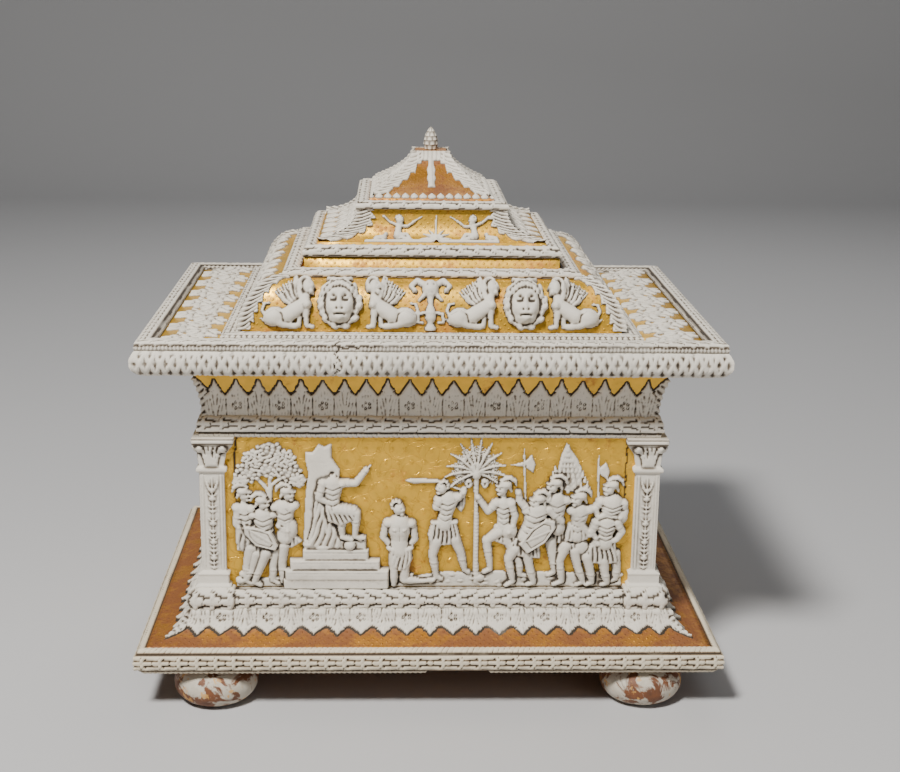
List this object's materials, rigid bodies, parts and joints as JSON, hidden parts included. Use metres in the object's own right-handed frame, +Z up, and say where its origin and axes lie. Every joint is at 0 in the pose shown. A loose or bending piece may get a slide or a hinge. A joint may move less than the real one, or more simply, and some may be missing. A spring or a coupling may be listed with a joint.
{
  "type": "reliquary casket",
  "caption": "Gilt wooden casket on bun feet with white cast relief panels, leaf mouldings and a stepped lid that lifts off.",
  "frame": {"origin": "centre of the footprint on the ground, under the middle of the casket", "axes": "+Z up, the front with the main relief faces -Y, +X to the right seen from the front"},
  "size_m": [0.28, 0.206, 0.2664],
  "materials": {
    "gilding": "burnished gold leaf over bole, punched and worn",
    "white_paste": "matt white moulded paste with grey dirt in the hollows",
    "bare_wood": "worn dark wood with remains of gilding"
  },
  "bodies": {
    "root": {"back_relief": "white_paste", "base_board": "gilding", "base_edge_moulding": "white_paste", "base_leaf_cresting": "white_paste", "box_carcass": "gilding", "bud_finial": "white_paste", "bun_foot_back_left": "bare_wood", "bun_foot_back_right": "bare_wood", "bun_foot_front_left": "bare_wood", "bun_foot_front_right": "bare_wood", "corner_pilaster_back_left": "white_paste", "corner_pilaster_back_right": "white_paste", "corner_pilaster_front_left": "white_paste", "corner_pilaster_front_right": "white_paste", "cornice_leaf_cresting": "white_paste", "cushion_acanthus_back_left": "white_paste", "cushion_acanthus_back_right": "white_paste", "cushion_acanthus_front_left": "white_paste", "cushion_acanthus_front_right": "white_paste", "cushion_foliage_back": "white_paste", "cushion_foliage_left": "white_paste", "cushion_foliage_right": "white_paste", "cushion_foot_moulding": "white_paste", "cushion_tier": "gilding", "cushion_top_moulding": "white_paste", "front_relief_left": "white_paste", "front_relief_right": "white_paste", "grotesque": "white_paste", "left_relief": "white_paste", "lid_border_foliage_left": "white_paste", "lid_border_foliage_right": "white_paste", "lid_case": "gilding", "lid_edge_moulding": "white_paste", "lid_rim_laurel": "white_paste", "lower_laurel_moulding": "white_paste", "mask_left": "white_paste", "mask_right": "white_paste", "putti_relief": "white_paste", "right_relief": "white_paste", "roof": "gilding", "roof_acanthus_back_left": "white_paste", "roof_acanthus_back_right": "white_paste", "roof_acanthus_front_left": "white_paste", "roof_acanthus_front_right": "white_paste", "roof_foot_moulding": "white_paste", "sphinx_1": "white_paste", "sphinx_2": "white_paste", "sphinx_3": "white_paste", "sphinx_4": "white_paste", "upper_foliage_back": "white_paste", "upper_foliage_left": "white_paste", "upper_foliage_right": "white_paste", "upper_foot_moulding": "white_paste", "upper_laurel_moulding": "white_paste", "upper_tier": "gilding"}
  },
  "joints": []
}
